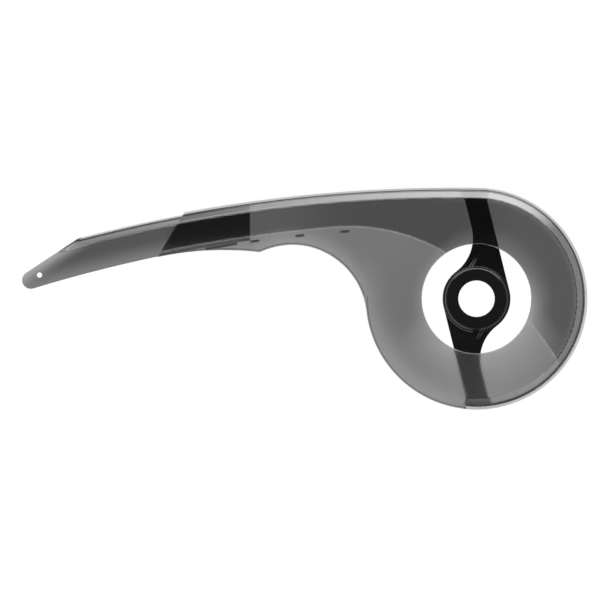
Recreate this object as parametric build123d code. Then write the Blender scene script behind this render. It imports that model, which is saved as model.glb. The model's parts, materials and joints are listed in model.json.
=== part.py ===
"""Bicycle chain guard: a smoked clear shell, a tail that telescopes out of it and a black frame mount.

The frame: +X is forward on the bicycle, +Z is up, and the outside of the guard faces -Y. The origin is on
the bottom bracket axis, in the plane where the mount's ring seats on the frame. Outlines are drawn in X and
Z. A turn is an angle in degrees, clockwise from straight up as seen from outside. A depth is a distance
from the seat plane towards the outside.
"""
import os
from math import acos, asin, atan2, cos, degrees, hypot, radians, sin, sqrt

from build123d import *

# Shell outline
disc_radius = 106.8          # rim of the round end over the chainring
opening_radius = 52.7        # hole for the crank
arm_radius = 1422.6          # rim of the long upper edge
arm_meets_disc = 1.0         # turn at which the upper edge runs into the disc
arm_height = 42.8            # arm from its rim down to the crest of its underside
underside_radius = 296.0     # underside of the arm
underside_crest = -244.6     # X of the underside's highest point
notch_meets_disc = 263.5     # turn at which the hollow curve under the arm runs into the disc
cusp_setback = 102.0         # from the disc's rear end to the cusp between hollow curve and underside
cusp_rounding = 4.0
shell_end = -281.3           # X of the arm's end, at its rim
shell_end_lean = 31.0        # lean of the arm's end from upright
wall_end = 185.5             # turn at which the wall stops under the disc

# Shell section
shell_depth = 20.0           # lip to front face
face_thickness = 2.0
wall_thickness = 1.4
wall_lean = 7.3              # how far the wall leans in from lip to face
lip_width = 2.3
lip_thickness = 0.8
front_rounding = 1.2
inner_rounding = 0.6
face_margin = 4.0            # strip of the face that belongs to the swept wall
opening_rounding = 0.9       # front edge of the crank opening
free_chamfer = 0.8           # front edge of the face where it has no wall

# Border line between the polished and the textured zone of the face
border_drop = 32.8           # from the arm's rim down to the line
border_turn = -4.7           # turn, about the arm's centre, at which the line starts to dip
border_dip_radius = 180.9
border_dip_end = 29.5        # turn at which the dip widens towards the lower rim
border_run_radius = 316.0
border_run_end = 62.0
border_width = 1.2
border_height = 0.45

# Guides that the tail's lower edge rides on
guide_thickness = 2.2
guide_reach = 7.0            # how far a guide stands out behind the face
long_guide_start = 20.3      # from the arm's end
long_guide_length = 30.3
guide_count = 3
first_guide = 67.7           # from the arm's end to the middle of the first short guide
guide_pitch = 43.4
guide_length = 8.4

# Tail
tail_overlap = 63.1          # from the arm's end to the tail's hidden end
tail_length = 219.5
tail_height = 34.6
tail_thickness = 1.8
tail_wall = 1.2
tail_lip_width = 1.4
tail_slope = 56.5            # length of the slanted edge at the tip, along X
tail_corner_radius = 16.0
tip_radius = 8.4
screw_hole_radius = 2.5
screw_hole_setback = 9.4     # from the tip's centre, along the tail
screw_hole_rise = 2.2        # from the tip's centre, across the tail

# Clearances
nest_gap = 0.35              # between the walls of shell and tail
face_gap = 0.8               # between the faces of shell and tail
slide_gap = 0.3              # between lips, and under the tail's lower edge
seat_gap = 0.2               # between the mount's feet and the shell

# Mount
axle_hole_radius = 17.5
ring_radius = 32.7
ring_thickness = 5.0
ring_chamfer = 0.8
collar_setback = 2.1         # from the ring's edge to the collar
collar_height = 2.2
collar_lean = 1.1            # how far the collar's side leans in
bevel_width = 0.9            # gentle slopes at the foot and edge of the collar, and on the ribs
bevel_depth = 0.5
strut_thickness = 3.0
strut_width = 20.75
strut_lean = 13.9
strut_fillet = 41.0
rib_width = 3.4
rib_height = 1.4
rib_edge = 4.7               # from the strut's hollow edge to the rib
rib_end = 39.5               # distance of the rib's end from the axle, along the strut
foot_thickness = 2.0
foot_left = 15.4             # reach of the foot to either side, at the lip and at the face
foot_right = 11.6
foot_left_front = 11.6
foot_right_front = 10.1

OUTSIDE = (0, -1, 0)
AXLE = (0.0, 0.0)

# Worked out from the sizes above
draft = wall_lean / (shell_depth - lip_thickness)
wall_across = wall_thickness * sqrt(1 + draft**2)
tail_wall_across = tail_wall * sqrt(1 + draft**2)
nest_across = nest_gap * sqrt(1 + draft**2)
seat_across = seat_gap * sqrt(1 + draft**2)
face_back = shell_depth - face_thickness
face_inset = lip_width + wall_lean + face_margin
tail_front = face_back - face_gap
tail_lip_front = -slide_gap
tail_lip_back = tail_lip_front - lip_thickness
foot_front = face_back - inner_rounding - seat_gap


def polar(center, radius, turn):
    """Point at a turn and a distance from a centre."""
    return (center[0] + radius * sin(radians(turn)), center[1] + radius * cos(radians(turn)))


def turn_of(center, point):
    """Turn of a point about a centre."""
    return degrees(atan2(point[0] - center[0], point[1] - center[1]))


def turn_at(center, radius, x):
    """Turn, in the upper half of a circle, at which the circle has the given X."""
    return degrees(asin((x - center[0]) / radius))


def arc(center, radius, start, end):
    """Arc from one turn to another."""
    turns = (start, (start + end) / 2, end)
    return ThreePointArc(*[polar(center, radius, turn) for turn in turns])


def slab(outline, back, front):
    """Flat plate of an X-Z outline between two depths."""
    return extrude(Plane.XZ.offset(back) * outline, front - back, dir=OUTSIDE)


def swing(section, center, start, end):
    """Section of radius and depth, swung about a centre from one turn to another."""
    spoke = (sin(radians(start)), 0, cos(radians(start)))
    travel = (cos(radians(start)), 0, -sin(radians(start)))
    origin = (center[0], 0, center[1])
    face = Plane(origin=origin, x_dir=spoke, z_dir=travel) * section
    return revolve(face, Axis(origin, (0, 1, 0)), revolution_arc=end - start)


def polygon(*points):
    return make_face(Polyline(*points, close=True))


def rounded(face, corner, radius):
    """Face with the corner nearest a point rounded."""
    nearest = face.vertices().sort_by(lambda vertex: hypot(vertex.X - corner[0], vertex.Y - corner[1]))[0]
    return fillet(nearest, radius)


def wall_outside(depth):
    """Distance of the shell wall's outer face from the rim, at a depth."""
    return -lip_width - (depth - lip_thickness) * draft


def wall_inside(depth):
    return wall_outside(depth) - wall_across


def tail_outside(depth):
    return wall_inside(depth) - nest_across


arm_center = polar(AXLE, arm_radius - disc_radius, arm_meets_disc + 180)
tail_rim = arm_radius + tail_outside(tail_lip_front) + tail_lip_width
tail_bottom = tail_rim - tail_height
guide_top = tail_bottom - slide_gap
border_radius = arm_radius - border_drop
shell_end_turn = turn_at(arm_center, arm_radius, shell_end)
shell_end_point = polar(arm_center, arm_radius, shell_end_turn)
tail_end = shell_end + tail_overlap
tail_end_turn = turn_at(arm_center, tail_rim, tail_end)
past_end = shell_end_turn - degrees((arm_height + lip_width) / arm_radius)


def hollow_radius(point, turn, other):
    """Radius of the circle through two points whose centre lies at a turn from the first point."""
    across = (other[0] - point[0]) * sin(radians(turn)) + (other[1] - point[1]) * cos(radians(turn))
    span = hypot(other[0] - point[0], other[1] - point[1])
    return span**2 / (2 * across)


# Guard shell
def shell_section(rim):
    """Lip, leaning wall and rounded corner of the shell, as radius and depth."""
    corner = (rim + wall_outside(shell_depth), shell_depth)
    inner_corner = (rim + wall_inside(face_back), face_back)
    section = polygon(
        (rim, 0),
        (rim, lip_thickness),
        (rim - lip_width, lip_thickness),
        corner,
        (rim - face_inset, shell_depth),
        (rim - face_inset, face_back),
        inner_corner,
        (rim + wall_inside(0), 0),
    )
    return rounded(rounded(section, corner, front_rounding), inner_corner, inner_rounding)


def face_outline():
    """Flat of the face: up to the swept wall where there is one, and to the free edge elsewhere."""
    crest_turn = turn_at(arm_center, arm_radius, underside_crest)
    crest_rim = polar(arm_center, arm_radius, crest_turn)
    underside_center = (underside_crest, crest_rim[1] - arm_height - underside_radius)
    cusp_turn = turn_at(underside_center, underside_radius, -disc_radius - cusp_setback)
    cusp = polar(underside_center, underside_radius, cusp_turn)
    notch_start = polar(AXLE, disc_radius, notch_meets_disc)
    notch_radius = hollow_radius(notch_start, notch_meets_disc, cusp)
    notch_center = polar(AXLE, disc_radius + notch_radius, notch_meets_disc)
    arm_flat = arm_radius - face_inset
    disc_flat = disc_radius - face_inset
    outer_end = polar(arm_center, arm_flat, past_end)
    under_turn = turn_at(underside_center, underside_radius, outer_end[0])
    edges = [
        arc(arm_center, arm_flat, past_end, arm_meets_disc),
        arc(AXLE, disc_flat, arm_meets_disc, wall_end),
        Line(polar(AXLE, disc_flat, wall_end), polar(AXLE, disc_radius, wall_end)),
        arc(AXLE, disc_radius, wall_end, notch_meets_disc),
        arc(notch_center, notch_radius, notch_meets_disc - 180, turn_of(notch_center, cusp)),
        arc(underside_center, underside_radius, cusp_turn, under_turn),
        Line(polar(underside_center, underside_radius, under_turn), outer_end),
    ]
    return rounded(make_face(edges), cusp, cusp_rounding)


def border_section(radius):
    """Low bead with sloping sides, as radius and depth."""
    half = border_width / 2
    root = shell_depth - face_thickness / 2
    return polygon(
        (radius - half, root),
        (radius - half, shell_depth),
        (radius - half + border_height, shell_depth + border_height),
        (radius + half - border_height, shell_depth + border_height),
        (radius + half, shell_depth),
        (radius + half, root),
    )


def border_line():
    """Bead along the arm, through the dip and on to the lower rim, tangent all the way."""
    dip_center = polar(arm_center, border_radius - border_dip_radius, border_turn)
    run_center = polar(dip_center, border_dip_radius - border_run_radius, border_dip_end)
    return [
        swing(border_section(border_radius), arm_center, past_end, border_turn),
        swing(border_section(border_dip_radius), dip_center, border_turn, border_dip_end),
        swing(border_section(border_run_radius), run_center, border_dip_end, border_run_end),
    ]


def guide(start, length):
    """Rib behind the face, along the path of the tail's lower edge."""
    section = polygon(
        (guide_top - guide_thickness, face_back - guide_reach),
        (guide_top, face_back - guide_reach),
        (guide_top, face_back),
        (guide_top - guide_thickness, face_back),
    )
    first = turn_at(arm_center, guide_top, shell_end + start)
    last = turn_at(arm_center, guide_top, shell_end + start + length)
    return swing(section, arm_center, first, last)


def free_edges(face):
    """Arcs on the front of the face that no wall runs along."""
    walled = (arm_radius - face_inset, disc_radius - face_inset)
    arcs = face.faces().sort_by(Axis.Y)[0].edges().filter_by(GeomType.CIRCLE)
    return arcs.filter_by(lambda edge: min(abs(edge.radius - radius) for radius in walled) > free_chamfer)


def guard_shell():
    outline = face_outline()
    shell = slab(outline, face_back, shell_depth)
    shell = chamfer(free_edges(shell), free_chamfer)
    shell += swing(shell_section(arm_radius), arm_center, past_end, arm_meets_disc)
    shell += swing(shell_section(disc_radius), AXLE, arm_meets_disc, wall_end)
    shell -= slab(Circle(opening_radius), 0, 2 * shell_depth)
    circles = shell.edges().filter_by(GeomType.CIRCLE)
    opening_edges = circles.filter_by(lambda edge: abs(edge.radius - opening_radius) < opening_rounding)
    shell = fillet(opening_edges.sort_by(Axis.Y)[0], opening_rounding)
    bead_room = slab(outline - Circle(opening_radius + opening_rounding), 0, 2 * shell_depth)
    for bead in border_line():
        shell += bead & bead_room
    shell += guide(long_guide_start, long_guide_length)
    for index in range(guide_count):
        shell += guide(first_guide + index * guide_pitch - guide_length / 2, guide_length)
    return shell - beyond_shell_end()


def beyond_shell_end():
    """Everything past the slanted end of the arm."""
    reach = 3 * arm_height
    up = polar(shell_end_point, reach, shell_end_lean)
    down = polar(shell_end_point, -reach, shell_end_lean)
    outline = polygon(up, (up[0] - 2 * reach, up[1]), (down[0] - 2 * reach, down[1]), down)
    return slab(outline, -shell_depth, 2 * shell_depth)


# Tail
tip_end = tail_end - tail_length
tip_path = tail_bottom + tip_radius
tip_turn = turn_at(arm_center, tip_path, tip_end + tip_radius)
tip_center = polar(arm_center, tip_path, tip_turn)
corner_turn = turn_at(arm_center, tail_rim, tip_end + tail_slope)
corner_center = polar(arm_center, tail_rim - tail_corner_radius, corner_turn)
tip_span = hypot(tip_center[0] - corner_center[0], tip_center[1] - corner_center[1])
slope_swing = degrees(acos((tail_corner_radius - tip_radius) / tip_span))
slope_turn = turn_of(corner_center, tip_center) + slope_swing
hole_turn = tip_turn + degrees(screw_hole_setback / tip_path)
hole_center = polar(arm_center, tip_path + screw_hole_rise, hole_turn)
past_tip = tip_turn - degrees(tip_radius / tip_path)


def tail_outline():
    """The tail as seen from outside: upper arc, corner, slanted edge, round tip and lower arc."""
    bottom_turn = turn_at(arm_center, tail_bottom, tail_end)
    slope_top = polar(corner_center, tail_corner_radius, slope_turn)
    slope_foot = polar(tip_center, tip_radius, slope_turn)
    edges = [
        arc(arm_center, tail_rim, tail_end_turn, corner_turn),
        arc(corner_center, tail_corner_radius, corner_turn, slope_turn),
        Line(slope_top, slope_foot),
        arc(tip_center, tip_radius, slope_turn, tip_turn - 180),
        arc(arm_center, tail_bottom, tip_turn, bottom_turn),
        Line(polar(arm_center, tail_bottom, bottom_turn), polar(arm_center, tail_rim, tail_end_turn)),
    ]
    return make_face(edges)


def tail_profile():
    """Lip, leaning wall and face of the tail, as radius and depth."""
    front_corner = (arm_radius + tail_outside(tail_front), tail_front)
    tail_back = tail_front - tail_thickness
    inner_corner = (arm_radius + tail_outside(tail_back) - tail_wall_across, tail_back)
    foot = arm_radius + tail_outside(tail_lip_front)
    profile = polygon(
        (tail_rim, tail_lip_back),
        (tail_rim, tail_lip_front),
        (foot, tail_lip_front),
        front_corner,
        (tail_bottom, tail_front),
        (tail_bottom, tail_back),
        inner_corner,
        (arm_radius + tail_outside(tail_lip_back) - tail_wall_across, tail_lip_back),
    )
    return rounded(rounded(profile, front_corner, front_rounding), inner_corner, inner_rounding)


def tail_section():
    """The swept profile, cut straight through along the outline."""
    spread = degrees(tail_height / tail_bottom)
    tail = swing(tail_profile(), arm_center, past_tip, tail_end_turn + spread)
    tail &= slab(tail_outline(), tail_lip_back, tail_front)
    return tail - slab(Pos(*hole_center) * Circle(screw_hole_radius), tail_lip_back, tail_front)


# Bottom bracket mount
across_strut = 90 - strut_lean
inner_edge = ring_radius - strut_width
fillet_reach = sqrt((ring_radius + strut_fillet) ** 2 - (inner_edge - strut_fillet) ** 2)
strut_reach = disc_radius + lip_width
ring_to_rim = disc_radius - ring_radius
foot_spread = 2 * foot_left


def beside_strut(across, along):
    """Point given by its distance across the upper strut and along it, from the axle."""
    foot_point = polar(AXLE, across, across_strut)
    return polar(foot_point, along, -strut_lean)


fillet_center = beside_strut(inner_edge - strut_fillet, fillet_reach)


def strut_outline():
    """Upper strut with half of the ring: tangent to the ring outside, with a hollow fillet inside."""
    ring_turn = turn_of(AXLE, fillet_center)
    edges = [
        Line(beside_strut(ring_radius, 0), beside_strut(ring_radius, strut_reach)),
        Line(beside_strut(ring_radius, strut_reach), beside_strut(inner_edge, strut_reach)),
        Line(beside_strut(inner_edge, strut_reach), beside_strut(inner_edge, fillet_reach)),
        arc(fillet_center, strut_fillet, across_strut, ring_turn + 180),
        arc(AXLE, ring_radius, ring_turn, across_strut - 180),
        Line(beside_strut(-ring_radius, 0), beside_strut(ring_radius, 0)),
    ]
    return make_face(edges)


def inside_wall(rim, skin, depth):
    """Radius at a distance inside the shell's wall, at a depth."""
    return rim + wall_inside(depth) - seat_across - skin


def room_section(rim):
    """Space inside the shell's wall, as far in as the ring."""
    return polygon(
        (rim - ring_to_rim, 0),
        (inside_wall(rim, 0, 0), 0),
        (inside_wall(rim, 0, foot_front), foot_front),
        (rim - ring_to_rim, foot_front),
    )


def foot_section(rim):
    """Band that lines the shell's wall."""
    return polygon(
        (inside_wall(rim, foot_thickness, 0), 0),
        (inside_wall(rim, 0, 0), 0),
        (inside_wall(rim, 0, foot_front), foot_front),
        (inside_wall(rim, foot_thickness, foot_front), foot_front),
    )


def under_rim(section):
    """Section swung under the top of the rim, where the arm's edge runs into the disc."""
    spread = degrees(asin(foot_spread / disc_radius))
    arm_spread = degrees(asin(foot_spread / arm_radius))
    front = swing(section(disc_radius), AXLE, arm_meets_disc, arm_meets_disc + spread)
    rear = swing(section(arm_radius), arm_center, arm_meets_disc - arm_spread, arm_meets_disc)
    return front + rear


def over_rim(section):
    """Section swung above the bottom of the rim."""
    spread = degrees(asin(foot_spread / disc_radius))
    return swing(section(disc_radius), AXLE, 180 - spread, 180 + spread)


def foot_block():
    """Tapered block that trims the upper foot, narrower at the face than at the lip."""
    outline = polygon(
        (-foot_left, 0),
        (foot_right, 0),
        (foot_right_front, foot_front),
        (-foot_left_front, foot_front),
    )
    base = Plane(origin=(0, 0, ring_radius), x_dir=(1, 0, 0), z_dir=(0, 0, -1))
    return extrude(base * outline, disc_radius, dir=(0, 0, 1))


def strut_rib():
    """Rib that follows the hollow edge of the strut, out of the ring."""
    outer = strut_fillet + rib_edge + rib_width
    top = strut_thickness + rib_height
    section = polygon(
        (outer - rib_width, 0),
        (outer, 0),
        (outer, top - bevel_depth),
        (outer - bevel_width, top),
        (outer - rib_width + bevel_width, top),
        (outer - rib_width, top - bevel_depth),
    )
    rise = degrees(asin((fillet_reach - rib_end) / (strut_fillet + rib_edge)))
    ring_turn = turn_of(AXLE, fillet_center) + 180
    return swing(section, fillet_center, across_strut + rise, ring_turn)


def ring_section():
    """Ring with a leaning, bevelled collar in front, as radius and depth."""
    collar_top = ring_thickness + collar_height
    collar_radius = ring_radius - collar_setback
    collar_edge = collar_radius - collar_lean
    return polygon(
        (axle_hole_radius, 0),
        (ring_radius, 0),
        (ring_radius, ring_thickness - ring_chamfer),
        (ring_radius - ring_chamfer, ring_thickness),
        (collar_radius + bevel_width, ring_thickness),
        (collar_radius, ring_thickness + bevel_depth),
        (collar_edge, collar_top - bevel_depth),
        (collar_edge - bevel_width, collar_top),
        (axle_hole_radius, collar_top),
    )


def bottom_bracket_mount():
    half_turn = Rotation(0, 180, 0)
    strut = slab(strut_outline(), 0, strut_thickness)
    hub = slab(Circle(ring_radius + strut_fillet), 0, strut_thickness)
    upper = strut & (under_rim(room_section) + hub)
    upper += under_rim(foot_section) & foot_block()
    upper += strut_rib()
    lower = (half_turn * strut) & (over_rim(room_section) + hub)
    lower += over_rim(foot_section) & (half_turn * foot_block())
    lower += half_turn * strut_rib()
    arms = upper + lower - slab(Circle(axle_hole_radius), 0, shell_depth)
    return arms + swing(ring_section(), AXLE, 0, 360)


os.makedirs("parts", exist_ok=True)
export_step(guard_shell(), "parts/guard_shell.step")
export_step(tail_section(), "parts/tail_section.step")
export_step(bottom_bracket_mount(), "parts/bottom_bracket_mount.step")
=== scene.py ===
# %% [markdown]
# # A smoked chain guard
#
# The object is a bicycle chain guard of smoked clear plastic: a round cover over the chainring, a long
# curved arm, and a tail that telescopes out of the arm. A black moulded mount shows through it. Nearly all
# of its look comes from light that passes through the plastic, so this lesson is about clear materials:
# how a sheet gets darker where it is thicker, how a fine texture makes part of it hazy, and which
# surroundings a clear thing needs in order to look like one.

# %% Load the frame
import json
import math
from types import SimpleNamespace

import bpy
import numpy as np
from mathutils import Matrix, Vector


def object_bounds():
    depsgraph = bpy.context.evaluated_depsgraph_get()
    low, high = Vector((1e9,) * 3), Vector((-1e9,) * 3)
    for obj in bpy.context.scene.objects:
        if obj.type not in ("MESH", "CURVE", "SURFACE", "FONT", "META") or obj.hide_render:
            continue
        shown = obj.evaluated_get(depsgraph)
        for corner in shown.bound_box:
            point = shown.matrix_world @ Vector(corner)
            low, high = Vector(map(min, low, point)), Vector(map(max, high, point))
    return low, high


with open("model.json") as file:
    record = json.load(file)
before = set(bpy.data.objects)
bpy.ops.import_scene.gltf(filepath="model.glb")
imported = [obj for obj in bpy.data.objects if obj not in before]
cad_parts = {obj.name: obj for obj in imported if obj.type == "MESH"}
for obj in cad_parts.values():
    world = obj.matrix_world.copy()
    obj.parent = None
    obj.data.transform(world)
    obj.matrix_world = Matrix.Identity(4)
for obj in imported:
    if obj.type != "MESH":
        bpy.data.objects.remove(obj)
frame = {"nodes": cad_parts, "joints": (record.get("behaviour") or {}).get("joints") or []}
cad_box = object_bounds()
nodes = frame["nodes"]
for name, piece in nodes.items():
    print(name, len(piece.data.polygons), "triangles")

# %% [markdown]
# ## Small tools
#
# Lengths in this file are in millimetres and become metres through one factor. Colours are written as
# sRGB hex values, as a paint chart gives them, and one function turns them to the linear values that a
# renderer works in. Another function adds a node: its settings are plain keywords, and its inputs are
# either values or the outputs of earlier nodes, so a sum reads from top to bottom.

# %% Units, colours and nodes
MM = 0.001


def hex_colour(code):
    """Linear RGBA of an sRGB hex value: each channel is undone by the sRGB curve."""
    channels = [int(code[start:start + 2], 16) / 255 for start in (1, 3, 5)]
    linear = [c / 12.92 if c <= 0.04045 else ((c + 0.055) / 1.055) ** 2.4 for c in channels]
    return (*linear, 1.0)


def add(tree, kind, inputs, output=0, **settings):
    """Adds one node to a tree and returns one of its outputs, or the node where it has none.

    Settings become the node's properties. The inputs are a list in the node's own order, or a dict by name
    or number. A socket among them is linked, and any other value is set.
    """
    made = tree.nodes.new("ShaderNode" + kind)
    for setting, value in settings.items():
        setattr(made, setting, value)
    numbered = inputs if isinstance(inputs, dict) else dict(enumerate(inputs))
    for socket, value in numbered.items():
        if isinstance(value, bpy.types.NodeSocket):
            tree.links.new(value, made.inputs[socket])
        else:
            made.inputs[socket].default_value = value
    return made.outputs[output] if len(made.outputs) else made


def new_material(name):
    """An empty node material and its tree."""
    material = bpy.data.materials.new(name)
    material.use_nodes = True
    material.node_tree.nodes.clear()
    return material, material.node_tree


print("one millimetre is", MM, "m; mid grey is", round(hex_colour("#808080")[0], 3))

# %% [markdown]
# ## Distances and directions
#
# The finishes below are drawn with distances: to an arc, to a straight edge, to the back of the part. A dot
# product gives the distance along a direction, and the distance to a centre less a radius gives the
# distance outside a circle. A Map Range node with smooth steps turns a distance into a strength. Each such
# ramp is written as four numbers: where it starts and ends, and its strength at both.

# %% Directions and circles
FORWARD = (1, 0, 0)
DOWN = (0, 0, -1)
OUTWARD = (0, -1, 0)
FACE_PLANE = (1, 0, 1)
AXLE = Vector((0, 0, 0))
DOT = {"operation": "DOT_PRODUCT", "output": "Value"}
SMOOTH = {"interpolation_type": "SMOOTHSTEP"}


def beyond(tree, flat, centre, radius):
    """Distance outside a circle: the distance to its centre less its radius."""
    away = add(tree, "VectorMath", [flat, centre], "Value", operation="DISTANCE")
    return add(tree, "Math", [away, radius], operation="SUBTRACT")


def heading(turn):
    """Direction at a turn in degrees, clockwise from straight up: its sine forward, its cosine up."""
    return Vector((math.sin(math.radians(turn)), 0, math.cos(math.radians(turn))))


print("a quarter turn heads", [round(v, 3) for v in heading(90)])

# %% [markdown]
# ## Where the border line runs
#
# A fine raised line divides the face of the shell. Above it the plastic is polished, and below it the tool
# was etched, which leaves a light haze. The line could be painted as a mask, but it is made of three arcs
# that run into each other, so its distance can be worked out exactly: first an arc about the same centre as
# the arm, which is also the centre that the tail slides about, then a tighter dip beside the crank opening,
# then a wide run down to the rim. Each arc holds between two straight radial lines. The drop is 0.7 mm more
# than that of the solid's raised line, which lies a little high.

# %% The three arcs of the border line
ARM_RIM = 1422.6 * MM
BORDER_DROP = 33.5 * MM
DIP_RADIUS = 180.9 * MM
RUN_RADIUS = 316.0 * MM
DIP_START = -4.7
DIP_END = 29.5
QUARTER = 90

arm_centre = Vector(frame["joints"][0]["pos_m"])
line_radius = ARM_RIM - BORDER_DROP
dip_centre = arm_centre + heading(DIP_START) * (line_radius - DIP_RADIUS)
run_centre = dip_centre + heading(DIP_END) * (DIP_RADIUS - RUN_RADIUS)


def above_line(tree, flat):
    """Distance outside the border line, negative on the etched side.

    The dip takes over from the arm's arc past the radial line where it starts, and the run takes over from
    the dip in the same way.
    """
    chosen = beyond(tree, flat, arm_centre, line_radius)
    for turn, centre, radius in ((DIP_START, dip_centre, DIP_RADIUS), (DIP_END, run_centre, RUN_RADIUS)):
        onward = heading(turn + QUARTER)
        along = add(tree, "VectorMath", [flat, onward], **DOT)
        past = add(tree, "Math", [along, dip_centre.dot(onward)], operation="GREATER_THAN")
        chosen = add(tree, "Mix", {0: past, 2: chosen, 3: beyond(tree, flat, centre, radius)})
    return chosen


print("dip centre", [round(v / MM, 1) for v in dip_centre], "mm")

# %% [markdown]
# ## Where the face is pale
#
# The face is not equally dark everywhere: it is paler in places. The solid has one even thickness, so a tint
# draws this by taking away a share of the thickness. A paling of 0 leaves the full thickness and a paling of
# 1 leaves none. Ramps over distances are used rather than a texture, because the paling follows the
# part's edges.
# The first one is broad: the face is paler before the axle, towards the bottom, and towards the arm's end.

# %% Broad paling
FRONT_PALING = (-20 * MM, 50 * MM, 0.02, 0.19)
LOWER_PALING = (5 * MM, 95 * MM, 0.02, 0.4)
REAR_PALING = (-110 * MM, -200 * MM, 0.02, 0.2)


def broad_paling(tree, spot):
    """The strongest of three ramps: forwards, downwards and towards the arm's end."""
    front = add(tree, "MapRange", [spot.x, *FRONT_PALING], **SMOOTH)
    lower = add(tree, "MapRange", [spot.down, *LOWER_PALING], **SMOOTH)
    rear = add(tree, "MapRange", [spot.x, *REAR_PALING], **SMOOTH)
    stronger = add(tree, "Math", [front, lower], operation="MAXIMUM")
    return add(tree, "Math", [stronger, rear], operation="MAXIMUM")


def remaining(tree, *palings):
    """Thickness that several palings leave: one less each of them, all multiplied."""
    thick = 1.0
    for paling in palings:
        left = add(tree, "Math", [1.0, paling], operation="SUBTRACT")
        thick = add(tree, "Math", [thick, left], operation="MULTIPLY")
    return thick


print("the bottom of the disc keeps", 1 - LOWER_PALING[-1], "of its thickness")

# %% [markdown]
# ## Paling round the crank opening
#
# Round the opening the face pales inwards to its edge. The pale ring is narrow behind the axle and wide at
# the bottom, and it is strongest there too. One ring of constant width would be simpler, but would look
# like a painted border, so both its reach and its strength are ramps.

# %% Paling round the opening
OPENING_RADIUS = 52.7 * MM
REACH_FORWARDS = (-45 * MM, 10 * MM, 12 * MM, 22 * MM)
REACH_DOWNWARDS = (10 * MM, 50 * MM, 0.0, 26 * MM)
SHARE_LEFT = (0.0, 1.0, 1.0, 0.0)
TAPER = 1.25
STRONG_SIDE = 165
OPENING_STRENGTH = (-30 * MM, 50 * MM, 0.42, 1.0)


def opening_paling(tree, spot):
    """Share of the reach that is left, to the power of the taper, times the strength on that side."""
    forwards = add(tree, "MapRange", [spot.x, *REACH_FORWARDS], **SMOOTH)
    downwards = add(tree, "MapRange", [spot.down, *REACH_DOWNWARDS], **SMOOTH)
    reach = add(tree, "Math", [forwards, downwards], operation="ADD")
    off_opening = beyond(tree, spot.flat, AXLE, OPENING_RADIUS)
    gone = add(tree, "Math", [off_opening, reach], operation="DIVIDE")
    left = add(tree, "MapRange", [gone, *SHARE_LEFT])
    tapered = add(tree, "Math", [left, TAPER], operation="POWER")
    towards = add(tree, "VectorMath", [spot.flat, heading(STRONG_SIDE)], **DOT)
    strength = add(tree, "MapRange", [towards, *OPENING_STRENGTH], **SMOOTH)
    return add(tree, "Math", [tapered, strength], operation="MULTIPLY")


print("the opening is", OPENING_RADIUS / MM, "mm in radius")

# %% [markdown]
# ## Paling along the free edges
#
# Three edges have no wall: the disc's lower left rim, the hollow curve under the arm, and the arm's
# underside. The face pales towards each of them. All three are arcs, so the distance to each is exact.

# %% Paling along the free edges
DISC_RADIUS = 106.8 * MM
NOTCH_CENTRE = Vector((-177.6, 0, -20.2)) * MM
NOTCH_RADIUS = 72.0 * MM
UNDERSIDE_CENTRE = Vector((-244.6, 0, -249.2)) * MM
UNDERSIDE_RADIUS = 296.0 * MM
FREE_RIM_TURN = 224.5
RIM_PALING = (0.0, 28 * MM, 0.65, 0.0)
RIM_SIDE = (30 * MM, 95 * MM, 0.0, 1.0)
NOTCH_PALING = (0.0, 21 * MM, 0.6, 0.0)
UNDERSIDE_PALING = (0.0, 16 * MM, 0.45, 0.0)
UNDERSIDE_SIDE = (-220 * MM, -195 * MM, 1.0, 0.0)


def free_edges(tree, spot):
    """Distances to the three edges without a wall, and the distance towards the free part of the rim."""
    rim = add(tree, "Math", [beyond(tree, spot.flat, AXLE, DISC_RADIUS)], operation="ABSOLUTE")
    notch = beyond(tree, spot.flat, NOTCH_CENTRE, NOTCH_RADIUS)
    underside = beyond(tree, spot.flat, UNDERSIDE_CENTRE, UNDERSIDE_RADIUS)
    towards_rim = add(tree, "VectorMath", [spot.flat, heading(FREE_RIM_TURN)], **DOT)
    return SimpleNamespace(rim=rim, notch=notch, underside=underside, towards_rim=towards_rim)


def edge_paling(tree, spot, edges):
    """The strongest of three ramps inwards. Those of the rim and the underside hold on their own side."""
    by_rim = add(tree, "MapRange", [edges.rim, *RIM_PALING], **SMOOTH)
    rim_side = add(tree, "MapRange", [edges.towards_rim, *RIM_SIDE], **SMOOTH)
    by_rim = add(tree, "Math", [by_rim, rim_side], operation="MULTIPLY")
    by_notch = add(tree, "MapRange", [edges.notch, *NOTCH_PALING], **SMOOTH)
    by_underside = add(tree, "MapRange", [edges.underside, *UNDERSIDE_PALING], **SMOOTH)
    underside_side = add(tree, "MapRange", [spot.x, *UNDERSIDE_SIDE], **SMOOTH)
    by_underside = add(tree, "Math", [by_underside, underside_side], operation="MULTIPLY")
    stronger = add(tree, "Math", [by_rim, by_notch], operation="MAXIMUM")
    return add(tree, "Math", [stronger, by_underside], operation="MAXIMUM")


print("the disc is", DISC_RADIUS / MM, "mm in radius")

# %% [markdown]
# ## Painted shade along the free edges
#
# Just inside each free edge runs a thin dark line, the shade that refraction gives at an edge. It could be
# left to refraction, but the solid's small chamfer renders too pale there, so the line is painted shade: a
# tint at a fixed distance from the nearest edge.

# %% Painted shade along the free edges
FREE_RIM_START = 72 * MM
CUSP = -206 * MM
# The thin dark line inside the free edges is painted shade.
EDGE_SHADE_TINT = 0.5
EDGE_LINE = 1.5 * MM
EDGE_HALF = 0.6 * MM
EDGE_FADES = (EDGE_HALF / 2, EDGE_HALF * 1.5, EDGE_SHADE_TINT, 1.0)


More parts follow.
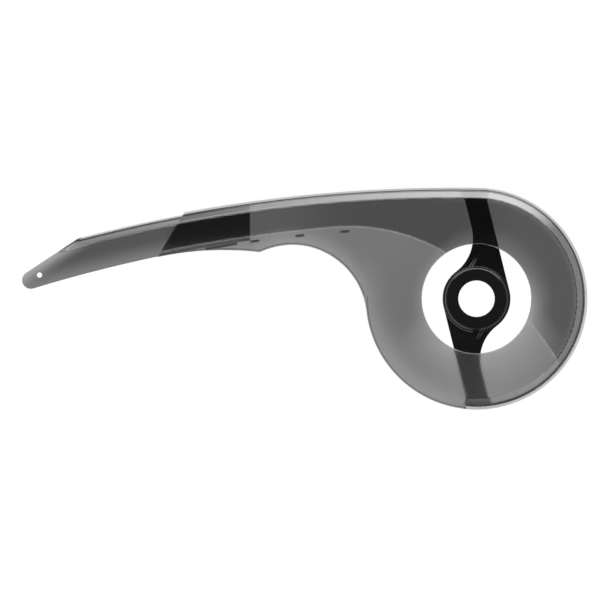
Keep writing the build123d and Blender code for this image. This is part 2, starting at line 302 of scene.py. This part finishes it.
def edge_shade_line(tree, spot, edges):
    """Painted shade by the distance to the line's middle, which lies at a fixed distance from the nearest
    free edge.

    Where an edge doesn't count, a comparison adds a metre to its distance: to the rim's off its lower left,
    and to the underside's before the cusp where the hollow curve starts.
    """
    off_rim = add(tree, "Math", [edges.towards_rim, FREE_RIM_START], operation="LESS_THAN")
    before_cusp = add(tree, "Math", [spot.x, CUSP], operation="GREATER_THAN")
    rim = add(tree, "Math", [edges.rim, off_rim], operation="ADD")
    underside = add(tree, "Math", [edges.underside, before_cusp], operation="ADD")
    nearest = add(tree, "Math", [rim, edges.notch], operation="MINIMUM")
    nearest = add(tree, "Math", [nearest, underside], operation="MINIMUM")
    past = add(tree, "Math", [nearest, EDGE_LINE], operation="SUBTRACT")
    off_line = add(tree, "Math", [past], operation="ABSOLUTE")
    return add(tree, "MapRange", [off_line, *EDGE_FADES], **SMOOTH)


print("the dark line lies", EDGE_LINE / MM, "mm inside the free edges")

# %% [markdown]
# ## Smoked polycarbonate
#
# Shell and tail are taken as injection moulded polycarbonate with a smoke tint. Glass with a grey colour
# would darken every sheet alike, thin or thick. Here smoke is in the volume: light is absorbed along its
# way through the plastic, so the thin lip stays pale, the face is dark, and where shell and tail overlap it
# is nearly black. A tint on the surface adds what thicker parts absorb: it is one sheet's tint to the power
# of the thickness. To the eye this is a dark glossy sheet that everything behind it shows through.

# %% Smoked plastic
SMOKE_DENSITY = 400.0
SMOKE_COLOUR = hex_colour("#000000")
PLASTIC_IOR = 1.58
POLISH = 0.03
SHEET = 2 * MM


def smoked_plastic(name):
    """A material, its tree, and what finishes are drawn from: place on the face, x, down, and depth."""
    material, tree = new_material(name)
    place = add(tree, "TexCoord", [], "Object")
    flat = add(tree, "VectorMath", [place, FACE_PLANE], operation="MULTIPLY")
    spot = SimpleNamespace(
        flat=flat,
        x=add(tree, "VectorMath", [flat, FORWARD], **DOT),
        down=add(tree, "VectorMath", [flat, DOWN], **DOT),
        depth=add(tree, "VectorMath", [place, OUTWARD], **DOT),
    )
    return material, tree, spot


def fill_with_smoke(tree, surface):
    """Joins a clear surface, given by its shader's inputs, and the smoke inside it to the output."""
    clear = add(tree, "BsdfPrincipled", {"IOR": PLASTIC_IOR, **surface})
    smoke = add(tree, "VolumeAbsorption", {"Color": SMOKE_COLOUR, "Density": SMOKE_DENSITY})
    add(tree, "OutputMaterial", {"Surface": clear, "Volume": smoke})


print("two millimetres let through", round(math.exp(-SMOKE_DENSITY * SHEET), 2), "of the light")

# %% [markdown]
# ## From the rim inwards
#
# Seen from the front, a walled rim is a row of bands: the pale lip, a dark line of painted shade at the
# lip's root, then the leaning wall, then the face. Shell and tail share this row, so one function lays it out
# along the distance from the rim.

# %% Bands along the rim
LIP_TINT = 0.8
# The dark line at the lip's root, and along the tail's slanted edge, is painted shade.
PAINTED_SHADE_TINT = 0.01
ROOT_HALF = 0.75 * MM
ROOT_BLEND = 0.3 * MM
CORNER_BLEND = 0.55 * MM
PAST_ROOT = (-ROOT_BLEND, ROOT_BLEND, 0.0, 1.0)
ROOT_FADES = (ROOT_HALF - ROOT_BLEND, ROOT_HALF + ROOT_BLEND, 1.0, 0.0)
PAST_CORNER = (-CORNER_BLEND, CORNER_BLEND, 0.0, 1.0)


def from_rim(tree, inward, root, corner, wall_tint, face_tint):
    """Tint of lip, painted shade at the root of the lip, wall and face, each mixed over the last as the
    distance inwards grows.
    """
    past_root = add(tree, "Math", [inward, root], operation="SUBTRACT")
    on_wall = add(tree, "MapRange", [past_root, *PAST_ROOT], **SMOOTH)
    swept = add(tree, "Mix", {0: on_wall, 2: LIP_TINT, 3: wall_tint})
    off_root = add(tree, "Math", [past_root], operation="ABSOLUTE")
    at_root = add(tree, "MapRange", [off_root, *ROOT_FADES], **SMOOTH)
    swept = add(tree, "Mix", {0: at_root, 2: swept, 3: PAINTED_SHADE_TINT})
    past_corner = add(tree, "Math", [inward, corner], operation="SUBTRACT")
    on_face = add(tree, "MapRange", [past_corner, *PAST_CORNER], **SMOOTH)
    return add(tree, "Mix", {0: on_face, 2: swept, 3: face_tint})


print("the dark root is", 2 * ROOT_HALF / MM, "mm wide")

# %% [markdown]
# ## Zones of the shell
#
# The shell's walled rim is the arm's arc behind the axle and the disc's circle before it, down to where the
# wall ends. Below the border line the outside is etched, on the face and on the wall, while the lip and the
# whole inside stay polished. The depth tells outside from inside.

# %% Zones of the shell
WALL_END = 185.5
SHELL_FRONT = 20.0 * MM
SHELL_CORNER = 9.6 * MM
LIP_DEPTH = 1.5 * MM
SKIN = 0.8 * MM
LINE_HALF = 0.5 * MM
BELOW_LINE = (LINE_HALF, -LINE_HALF, 0.0, 1.0)
OUTSIDE_FACE = (SHELL_FRONT - SKIN, SHELL_FRONT - SKIN / 2, 0.0, 1.0)
BEFORE_CORNER = (SHELL_CORNER + SKIN, SHELL_CORNER, 0.0, 1.0)
OFF_LIP = (LIP_DEPTH, LIP_DEPTH + SKIN, 0.0, 1.0)


def inside_rim(tree, spot):
    """Distance inside the walled rim: nought less the distance outside the arm's arc or the disc's."""
    off_disc = beyond(tree, spot.flat, AXLE, DISC_RADIUS)
    off_arm = beyond(tree, spot.flat, arm_centre, ARM_RIM)
    towards = add(tree, "VectorMath", [spot.flat, heading(WALL_END - QUARTER)], **DOT)
    before = add(tree, "Math", [towards, 0.0], operation="GREATER_THAN")
    outside = add(tree, "Mix", {0: before, 2: off_arm, 3: off_disc})
    return add(tree, "Math", [0.0, outside], operation="SUBTRACT")


def shell_zones(tree, spot, inward, height):
    """Shares of being below the line, on the wall, and on etched plastic: below the line and outside."""
    etched = add(tree, "MapRange", [height, *BELOW_LINE], **SMOOTH)
    in_front = add(tree, "MapRange", [spot.depth, *OUTSIDE_FACE], **SMOOTH)
    before_corner = add(tree, "MapRange", [inward, *BEFORE_CORNER], **SMOOTH)
    off_lip = add(tree, "MapRange", [spot.depth, *OFF_LIP], **SMOOTH)
    on_wall = add(tree, "Math", [before_corner, off_lip], operation="MULTIPLY")
    outer = add(tree, "Math", [in_front, on_wall], operation="MAXIMUM")
    textured = add(tree, "Math", [etched, outer], operation="MULTIPLY")
    return etched, on_wall, textured


print("the face lies", SHELL_FRONT / MM, "mm in front of the lip")

# %% [markdown]
# ## Tint of the shell
#
# The polished zone is darker than the etched one, so it counts as a thicker sheet. Next to the wall it
# pales a little, and along the border line it pales as a painted highlight. The lip's root and the front
# corner lie further in at the bottom of the disc than along the arm.

# %% Tint of the shell
SHELL_THICK_TINT = 0.36
ZONE_THICKNESS = (0.0, 1.0, 1.78, 0.85)
WALL_TINT = (0.0, 1.0, 0.37, 1.0)
UPPER_CORNER = 9.1 * MM
CORNER_IN = (-100 * MM, 0.0, UPPER_CORNER, 10.4 * MM)
ROOT_IN = (-110 * MM, 40 * MM, 2.65 * MM, 4.3 * MM)
# The paling along the border line is a painted highlight.
LINE_HIGHLIGHT_PALING = (LINE_HALF / 2, 2 * LINE_HALF, 0.3, 0.0)
WALL_PALING = (UPPER_CORNER, 16 * MM, 0.26, 0.0)
WALL_PALING_STARTS = (-60 * MM, 0.0, 0.0, 1.0)


def wall_paling(tree, spot, inward, etched):
    """A ramp inwards from the wall, times one that starts it along the arm, times the polished share."""
    near = add(tree, "MapRange", [inward, *WALL_PALING], **SMOOTH)
    started = add(tree, "MapRange", [spot.x, *WALL_PALING_STARTS], **SMOOTH)
    near = add(tree, "Math", [near, started], operation="MULTIPLY")
    polished = add(tree, "Math", [1.0, etched], operation="SUBTRACT")
    return add(tree, "Math", [near, polished], operation="MULTIPLY")


def shell_tint(tree, spot, inward, off_line, etched):
    """The thick sheet's tint to the power of the thickness that is left, times the painted shade of the free
    edges' dark line.
    """
    edges = free_edges(tree, spot)
    thick = remaining(
        tree,
        broad_paling(tree, spot),
        opening_paling(tree, spot),
        edge_paling(tree, spot, edges),
        add(tree, "MapRange", [off_line, *LINE_HIGHLIGHT_PALING], **SMOOTH),
        wall_paling(tree, spot, inward, etched),
    )
    zone = add(tree, "MapRange", [etched, *ZONE_THICKNESS], **SMOOTH)
    exponent = add(tree, "Math", [thick, zone], operation="MULTIPLY")
    face = add(tree, "Math", [SHELL_THICK_TINT, exponent], operation="POWER")
    face = add(tree, "Math", [face, edge_shade_line(tree, spot, edges)], operation="MULTIPLY")
    wall = add(tree, "MapRange", [etched, *WALL_TINT], **SMOOTH)
    root = add(tree, "MapRange", [spot.down, *ROOT_IN], **SMOOTH)
    corner = add(tree, "MapRange", [spot.down, *CORNER_IN], **SMOOTH)
    return from_rim(tree, inward, root, corner, wall, face)


print("the polished zone counts as", ZONE_THICKNESS[2], "sheets, the etched one as", ZONE_THICKNESS[3])

# %% [markdown]
# ## Painted glints on the shell
#
# Three fine edges catch light: the front corner, most of all near the arm's end, the rim of the crank
# opening, and the border line. The two roundings and the line's bead are in the solid, but are about a
# pixel wide, so each also gets a painted highlight: a line that scatters a share of the light, as wide as it
# needs to show.

# %% Painted glints on the shell
# The glints below are painted highlights: lines that scatter a share of the light.
CORNER_LINE = 8.6 * MM
CORNER_FADES = (0.1 * MM, 0.6 * MM, 1.0, 0.0)
CORNER_GLINT = (-250 * MM, -90 * MM, 0.24, 0.023)
OPENING_GLINT = (0.4 * MM, 1.1 * MM, 0.105, 0.0)
LINE_GLINT = (LINE_HALF / 2, 2 * LINE_HALF, 0.105, 0.0)
GLINT_DEPTH = 15.0 * MM
FRONT_ROUNDING = 1.2 * MM
ON_ROUNDING = (GLINT_DEPTH, GLINT_DEPTH + SKIN, 0.0, 1.0)
ON_FRONT = (SHELL_FRONT - FRONT_ROUNDING - SKIN / 2, SHELL_FRONT - FRONT_ROUNDING, 0.0, 1.0)


def shell_painted_glints(tree, spot, inward, off_line):
    """Share of light scattered as painted highlights on the fine edges: the largest of three lines, each on
    its own depth.
    """
    past_corner = add(tree, "Math", [inward, CORNER_LINE], operation="SUBTRACT")
    off_corner = add(tree, "Math", [past_corner], operation="ABSOLUTE")
    by_corner = add(tree, "MapRange", [off_corner, *CORNER_FADES], **SMOOTH)
    strength = add(tree, "MapRange", [spot.x, *CORNER_GLINT], **SMOOTH)
    by_corner = add(tree, "Math", [by_corner, strength], operation="MULTIPLY")
    on_rounding = add(tree, "MapRange", [spot.depth, *ON_ROUNDING], **SMOOTH)
    by_corner = add(tree, "Math", [by_corner, on_rounding], operation="MULTIPLY")
    off_opening = beyond(tree, spot.flat, AXLE, OPENING_RADIUS)
    by_opening = add(tree, "MapRange", [off_opening, *OPENING_GLINT], **SMOOTH)
    by_line = add(tree, "MapRange", [off_line, *LINE_GLINT], **SMOOTH)
    on_face = add(tree, "Math", [by_opening, by_line], operation="MAXIMUM")
    on_front = add(tree, "MapRange", [spot.depth, *ON_FRONT], **SMOOTH)
    on_face = add(tree, "Math", [on_face, on_front], operation="MULTIPLY")
    return add(tree, "Math", [by_corner, on_face], operation="MAXIMUM")


print("the corner's line lies", CORNER_LINE / MM, "mm inside the rim")

# %% [markdown]
# ## Finish of the shell
#
# The etched zone scatters part of the light on its outer surface, so there it is rougher, and a small share
# of it is diffuse: a haze that grows outwards from the opening and is stronger on the wall. The painted
# highlights of the glints add to it. The share is divided by the tint, which gives the same pale veil over
# dark and light parts.

# %% Finish of the shell
HAZE = (5 * MM, 42 * MM, 0.0235, 0.036)
WALL_HAZE = (0.0, 1.0, 1.0, 1.9)
SHELL_ROUGHNESS = (0.0, 1.0, POLISH, 0.33)


def shell_plastic():
    """Clear where nothing scatters: transmission is one less the scattered share over the tint."""
    material, tree, spot = smoked_plastic("smoked_polycarbonate_shell")
    height = above_line(tree, spot.flat)
    off_line = add(tree, "Math", [height], operation="ABSOLUTE")
    inward = inside_rim(tree, spot)
    etched, on_wall, textured = shell_zones(tree, spot, inward, height)
    tint = shell_tint(tree, spot, inward, off_line, etched)
    off_opening = beyond(tree, spot.flat, AXLE, OPENING_RADIUS)
    haze = add(tree, "MapRange", [off_opening, *HAZE], **SMOOTH)
    more = add(tree, "MapRange", [on_wall, *WALL_HAZE], **SMOOTH)
    haze = add(tree, "Math", [haze, more], operation="MULTIPLY")
    haze = add(tree, "Math", [haze, textured], operation="MULTIPLY")
    glints = shell_painted_glints(tree, spot, inward, off_line)
    scattered = add(tree, "Math", [haze, glints], operation="ADD")
    veil = add(tree, "Math", [scattered, tint], operation="DIVIDE")
    veil = add(tree, "Math", [veil, 1.0], operation="MINIMUM")
    clear = add(tree, "Math", [1.0, veil], operation="SUBTRACT")
    rough = add(tree, "MapRange", [textured, *SHELL_ROUGHNESS], **SMOOTH)
    fill_with_smoke(tree, {"Base Color": tint, "Roughness": rough, "Transmission Weight": clear})
    return material


shell_finish = shell_plastic()
print(shell_finish.name, "has", len(shell_finish.node_tree.nodes), "nodes")

# %% [markdown]
# ## Tint of the tail
#
# The tail pales towards its lower edge, and more so towards the slanted edge at its tip. The part that is
# inside the arm at rest is darker than two sheets make it: this is painted shade between the parts, drawn
# as a little more thickness. That part is marked on the tail itself, so it moves along when the tail slides.

# %% Tint of the tail
TAIL_THICK_TINT = 0.198
TAIL_LOWER_RADIUS = 1385.6 * MM
SLOPE_PALING = (0.0, 15.4 * MM, 0.88, 0.0)
LOWER_EDGE_PALING = (0.0, 19 * MM, 0.5, 0.0)
# The extra darkness where the tail lies inside the arm is painted shade between the parts.
INSERTED_SHADE = (-302 * MM, -284 * MM, 1.0, 1.3)


def tail_face(tree, spot, slope):
    """The thick sheet's tint to the power of the thickness that is left, thicker as painted shade where it is
    inserted.
    """
    off_lower = beyond(tree, spot.flat, arm_centre, TAIL_LOWER_RADIUS)
    by_slope = add(tree, "MapRange", [slope, *SLOPE_PALING], **SMOOTH)
    by_lower = add(tree, "MapRange", [off_lower, *LOWER_EDGE_PALING], **SMOOTH)
    inserted = add(tree, "MapRange", [spot.x, *INSERTED_SHADE], **SMOOTH)
    thick = add(tree, "Math", [remaining(tree, by_slope, by_lower), inserted], operation="MULTIPLY")
    return add(tree, "Math", [TAIL_THICK_TINT, thick], operation="POWER")


print("the inserted part counts as", INSERTED_SHADE[-1], "sheets")

# %% [markdown]
# ## Finish of the tail
#
# The tail is polished all over. Its slanted edge is a straight line, so the distance to it is a single dot
# product. The bands of its wall fade out towards the tip, and the dark line of painted shade along the
# slanted edge fades out a little further on.

# %% Finish of the tail
TAIL_WALL_TINT = 0.42
TAIL_RIM = 1420.2 * MM
TAIL_CORNER = 7.3 * MM
TAIL_ROOT = 2.6 * MM
TIP_CENTRE = Vector((-429.3, 0, 17.91)) * MM
TIP_RADIUS = 8.4 * MM
SLOPE_TURN = -33.45
# The dark line along the slanted edge is painted shade.
SLOPE_LINE = 1.8 * MM
WALL_FADES = (-394 * MM, -382 * MM, 0.0, 1.0)
SLOPE_LINE_SHADE = (SLOPE_LINE / 2, SLOPE_LINE, PAINTED_SHADE_TINT, 1.0)
SLOPE_LINE_FADES = (-404 * MM, -396 * MM, 0.0, 1.0)


def tail_plastic():
    """Bands from the rim before the tip, plain face at the tip, and a dark line of painted shade along the
    slanted edge.
    """
    material, tree, spot = smoked_plastic("smoked_polycarbonate_tail")
    out = heading(SLOPE_TURN)
    reached = add(tree, "VectorMath", [spot.flat, out], **DOT)
    slope = add(tree, "Math", [TIP_CENTRE.dot(out) + TIP_RADIUS, reached], operation="SUBTRACT")
    face = tail_face(tree, spot, slope)
    off_rim = beyond(tree, spot.flat, arm_centre, TAIL_RIM)
    inward = add(tree, "Math", [0.0, off_rim], operation="SUBTRACT")
    banded = from_rim(tree, inward, TAIL_ROOT, TAIL_CORNER, TAIL_WALL_TINT, face)
    before_tip = add(tree, "MapRange", [spot.x, *WALL_FADES], **SMOOTH)
    tint = add(tree, "Mix", {0: before_tip, 2: face, 3: banded})
    line = add(tree, "MapRange", [slope, *SLOPE_LINE_SHADE], **SMOOTH)
    near_wall = add(tree, "MapRange", [spot.x, *SLOPE_LINE_FADES], **SMOOTH)
    line = add(tree, "Mix", {0: near_wall, 2: 1.0, 3: line})
    tint = add(tree, "Math", [tint, line], operation="MULTIPLY")
    fill_with_smoke(tree, {"Base Color": tint, "Roughness": POLISH, "Transmission Weight": 1.0})
    return material


tail_finish = tail_plastic()
print(tail_finish.name, "has", len(tail_finish.node_tree.nodes), "nodes")

# %% [markdown]
# ## Painted highlights on the rib edges
#
# Next to the ring each strut of the mount has a rib, whose two edges show as fine pale lines that fade out
# along the strut. They could be left to the lamps, but the edges are narrower than a pixel, so a paler
# colour is painted on them as a highlight. The ribs are arcs, and those of the lower strut are those of the
# upper one turned by half a turn about the axle.

# %% Painted highlights on the rib edges
RIB_CENTRE = Vector((-44.5, 0, 58.8)) * MM
RIB_EDGES = (46.9 * MM, 49.0 * MM)
RIB_EDGE_HALF = 0.35 * MM
RIB_EDGE_FADES = (RIB_EDGE_HALF / 2, RIB_EDGE_HALF * 1.5, 1.0, 0.0)
RIB_STARTS = (27 * MM, 30 * MM, 0.0, 1.0)
RIB_FADES = (31 * MM, 42 * MM)
RIB_SHINE = {1: 1.0, -1: 0.3}
RING_EDGE = 31.4 * MM
OFF_RING = (0.0, RIB_EDGE_HALF, 0.0, 1.0)
STRUT_FRONT = 3.0 * MM
STRUT_OUTSIDE = (STRUT_FRONT / 2, STRUT_FRONT * 0.9, 0.0, 1.0)


def rib_edge_highlights(tree, place):
    """1 on the ribs' edges, where the highlight is painted: the largest of four arcs' lines, outside the ring
    and on the struts' front.
    """
    flat = add(tree, "VectorMath", [place, FACE_PLANE], operation="MULTIPLY")
    lit = 0.0
    for side, shine in RIB_SHINE.items():
        out = add(tree, "VectorMath", [flat, (0, 0, side)], **DOT)
        started = add(tree, "MapRange", [out, *RIB_STARTS], **SMOOTH)
        faded = add(tree, "MapRange", [out, *RIB_FADES, shine, 0.0], **SMOOTH)
        length = add(tree, "Math", [started, faded], operation="MULTIPLY")
        for radius in RIB_EDGES:
            past = beyond(tree, flat, RIB_CENTRE * side, radius)
            off_edge = add(tree, "Math", [past], operation="ABSOLUTE")
            edge = add(tree, "MapRange", [off_edge, *RIB_EDGE_FADES], **SMOOTH)
            edge = add(tree, "Math", [edge, length], operation="MULTIPLY")
            lit = add(tree, "Math", [lit, edge], operation="MAXIMUM")
    off_ring = add(tree, "MapRange", [beyond(tree, flat, AXLE, RING_EDGE), *OFF_RING], **SMOOTH)
    lit = add(tree, "Math", [lit, off_ring], operation="MULTIPLY")
    depth = add(tree, "VectorMath", [place, OUTWARD], **DOT)
    outside = add(tree, "MapRange", [depth, *STRUT_OUTSIDE], **SMOOTH)
    return add(tree, "Math", [lit, outside], operation="MULTIPLY")


print("the ribs are", round((RIB_EDGES[1] - RIB_EDGES[0]) / MM, 1), "mm wide")

# %% [markdown]
# ## Black nylon
#
# The mount is taken as moulded black nylon, a little glossy, with the grain of a spark-eroded tool, which
# breaks its highlights up. Such a grain is about a tenth of a millimetre and would not show, so it is drawn
# at 0.8 mm, nearly a pixel, as a faint mottle: a noise that shifts the roughness and dents the surface by
# hundredths of a millimetre.

# %% Black nylon of the mount
NYLON_BLACK = hex_colour("#151515")
# The paler colour on the rib edges is a painted highlight.
PAINTED_EDGE_HIGHLIGHT = hex_colour("#888888")
NYLON_ROUGHNESS = (0.0, 1.0, 0.11, 0.19)
GRAIN = 0.8 * MM
GRAIN_DETAIL = 3.0
GRAIN_DEPTH = 0.02 * MM
GRAIN_STRENGTH = 0.3


def black_nylon():
    """Black with highlights painted on the rib edges. One noise gives the roughness, by a straight ramp, and
    the dents.
    """
    material, tree = new_material("black_moulded_nylon")
    place = add(tree, "TexCoord", [], "Object")
    colours = {0: rib_edge_highlights(tree, place), 6: NYLON_BLACK, 7: PAINTED_EDGE_HIGHLIGHT}
    colour = add(tree, "Mix", colours, 2, data_type="RGBA")
    grain = add(tree, "TexNoise", {"Vector": place, "Scale": 1 / GRAIN, "Detail": GRAIN_DETAIL})
    rough = add(tree, "MapRange", [grain, *NYLON_ROUGHNESS])
    dents = add(tree, "Bump", {"Height": grain, "Distance": GRAIN_DEPTH, "Strength": GRAIN_STRENGTH})
    surface = add(tree, "BsdfPrincipled", {"Base Color": colour, "Roughness": rough, "Normal": dents})
    add(tree, "OutputMaterial", {"Surface": surface})
    return material


nylon_finish = black_nylon()
print(nylon_finish.name, "has", len(nylon_finish.node_tree.nodes), "nodes")

# %% [markdown]
# ## Put the finishes on
#
# The three mouldings have the right shape already, so they stay as the CAD made them, and each one's
# material slots are given its new finish.

# %% Finishes on the pieces
finishes = {"guard_shell": shell_finish, "tail_section": tail_finish, "bottom_bracket_mount": nylon_finish}
for name, material in finishes.items():
    piece = nodes[name]
    piece.data.materials.clear()
    piece.data.materials.append(material)
    print(name, "is", material.name)

# %% [markdown]
# ## Camera
#
# The guard is seen straight from the outside, from so far away that nothing converges, so the camera is
# orthographic. The width of a pixel and the pixel that the axle falls on give its scale and place.

# %% Camera
PIXEL = 0.96329 * MM
FRAME_PIXELS = 600
AXLE_PIXEL = (476.5, 298.7)
CAMERA_AWAY = 1.5

camera_data = bpy.data.cameras.new("camera")
camera_data.type = "ORTHO"
camera_data.ortho_scale = FRAME_PIXELS * PIXEL
camera = bpy.data.objects.new("camera", camera_data)
camera.location = (
    (FRAME_PIXELS / 2 - AXLE_PIXEL[0]) * PIXEL,
    -CAMERA_AWAY,
    (AXLE_PIXEL[1] - FRAME_PIXELS / 2) * PIXEL,
)
camera.rotation_euler = (math.radians(QUARTER), 0, 0)
bpy.context.scene.collection.objects.link(camera)
bpy.context.scene.camera = camera
print("the picture is", round(camera_data.ortho_scale / MM, 1), "mm wide")

# %% [markdown]
# ## Studio
#
# A clear thing shows its surroundings. The camera sees white, and so does light that goes straight through
# the plastic, while light that leaves it aslant meets a darker grey, which gives the edges their outline.
# What the polished plastic mirrors is dark in front, so that the face mirrors nothing pale, bright at the
# sides, which draws the ring's fine lines, and grey behind. One plain white world would wash the face out.

# %% World
WHITE = hex_colour("#ffffff")
BACKWARD = (0, 1, 0)
MIRRORED_FRONT = 0.06
MIRRORED_SIDE = 1.6
MIRRORED_BACK = 0.4
FRONT_TO_SIDE = (-0.72, -0.2, MIRRORED_FRONT, MIRRORED_SIDE)
SIDE_TO_BACK = (0.1, 0.5, MIRRORED_SIDE, MIRRORED_BACK)
ASIDE_TO_STRAIGHT = (0.3, 0.8, 0.35, 1.0)
AMBIENT = 0.4
SEEN_WHITE = 1.0

world = bpy.data.worlds.new("white_studio")
world.use_nodes = True
tree = world.node_tree
tree.nodes.clear()
direction = add(tree, "TexCoord", [], "Generated")
backward = add(tree, "VectorMath", [direction, BACKWARD], **DOT)
to_side = add(tree, "MapRange", [backward, *FRONT_TO_SIDE], **SMOOTH)
to_back = add(tree, "MapRange", [backward, *SIDE_TO_BACK], **SMOOTH)
mirrored = add(tree, "Math", [to_side, to_back], operation="MINIMUM")
squared = add(tree, "Math", [backward, backward], operation="MULTIPLY")
through = add(tree, "MapRange", [squared, *ASIDE_TO_STRAIGHT], **SMOOTH)
strength = AMBIENT
levels = {"Is Glossy Ray": mirrored, "Is Transmission Ray": through, "Is Camera Ray": SEEN_WHITE}
for ray, level in levels.items():
    strength = add(tree, "Mix", {0: add(tree, "LightPath", [], ray), 2: strength, 3: level})
background = add(tree, "Background", {"Color": WHITE, "Strength": strength})
add(tree, "OutputWorld", {"Surface": background})
bpy.context.scene.world = world
print("the world has", len(tree.nodes), "nodes")

# %% [markdown]
# ## Softbox
#
# A round softbox hangs above and behind the part, over the disc. The leaning wall mirrors it as a bright
# band that fades along the arm. A lamp can't fade to its rim, so the softbox is a disc that glows, from
# bright in the middle to the level of what is mirrored round it. It is there for mirroring only: it lights
# no diffuse surface, and the camera doesn't see it.

# %% Softbox
SOFTBOX_RADIUS = 0.8
SOFTBOX_PLACE = (0.2, 0.85, 0.75)
SOFTBOX_FADES = (0.0, SOFTBOX_RADIUS, 3.25, MIRRORED_BACK)
SOFTBOX_CORNERS = 64

# A circle: the sine and cosine of even turns, times the radius.
turns = np.arange(SOFTBOX_CORNERS) * (2 * np.pi / SOFTBOX_CORNERS)
circle = np.column_stack((np.sin(turns), np.cos(turns), np.zeros(SOFTBOX_CORNERS))) * SOFTBOX_RADIUS
softbox_mesh = bpy.data.meshes.new("softbox")
softbox_mesh.from_pydata(circle.tolist(), [], [range(SOFTBOX_CORNERS)])
softbox = bpy.data.objects.new("softbox", softbox_mesh)
softbox.location = SOFTBOX_PLACE
softbox.visible_camera = False
softbox.visible_diffuse = False
bpy.context.scene.collection.objects.link(softbox)

softbox_material, tree = new_material("softbox_cloth")
place = add(tree, "TexCoord", [], "Object")
away = add(tree, "VectorMath", [place], "Value", operation="LENGTH")
glow = add(tree, "Emission", {"Strength": add(tree, "MapRange", [away, *SOFTBOX_FADES], **SMOOTH)})
add(tree, "OutputMaterial", {"Surface": glow})
softbox_mesh.materials.append(softbox_material)
print("the softbox is", 2 * SOFTBOX_RADIUS, "m across")

# %% [markdown]
# ## Front lamp
#
# A lamp above the camera lights what scatters: the etched haze, the mount and the floor. It is wide, so
# that arm and disc are lit alike. Its level was set with a grey card in place of the finishes, so that mid
# grey renders as about mid grey.

# %% Front lamp
FRONT_LAMP_PLACE = Vector((-0.1, -0.65, 0.95))
FRONT_LAMP_WIDTH = 2.4
FRONT_LAMP_HEIGHT = 0.5
FRONT_LAMP_GLOW = 4.5

lamp_data = bpy.data.lights.new("front_lamp", "AREA")
lamp_data.shape = "RECTANGLE"
lamp_data.size = FRONT_LAMP_WIDTH
lamp_data.size_y = FRONT_LAMP_HEIGHT
lamp_data.energy = FRONT_LAMP_GLOW * math.pi * FRONT_LAMP_WIDTH * FRONT_LAMP_HEIGHT
lamp = bpy.data.objects.new("front_lamp", lamp_data)
lamp.location = FRONT_LAMP_PLACE
lamp.rotation_euler = FRONT_LAMP_PLACE.to_track_quat("Z", "Y").to_euler()
bpy.context.scene.collection.objects.link(lamp)
print("the front lamp is", FRONT_LAMP_WIDTH, "m wide and gives", round(lamp_data.energy, 1), "W")

# %% [markdown]
# ## Floor
#
# The part stands on a plain pale floor, level with its lowest point, which takes its shadow. The floor
# isn't mirrored in the part, because it would lay a faint pale veil over the lower half of the disc.

# %% Floor
FLOOR_HALF = 4.0
FLOOR_COLOUR = hex_colour("#e6e6e6")
FLOOR_ROUGHNESS = 0.6

low = cad_box[0]
corners = [(x * FLOOR_HALF, y * FLOOR_HALF, low.z) for x, y in ((-1, -1), (1, -1), (1, 1), (-1, 1))]
floor_mesh = bpy.data.meshes.new("floor")
floor_mesh.from_pydata(corners, [], [range(len(corners))])
floor = bpy.data.objects.new("floor", floor_mesh)
floor.visible_glossy = False
bpy.context.scene.collection.objects.link(floor)
floor_material, tree = new_material("pale_floor")
floor_surface = add(tree, "BsdfPrincipled", {"Base Color": FLOOR_COLOUR, "Roughness": FLOOR_ROUGHNESS})
add(tree, "OutputMaterial", {"Surface": floor_surface})
floor_mesh.materials.append(floor_material)
print("floor at", round(low.z / MM, 1), "mm")

# %% [markdown]
# ## Finish
#
# Colours are shown as they are, with the Standard view.

# %% Finish
bpy.context.scene.view_settings.view_transform = "Standard"
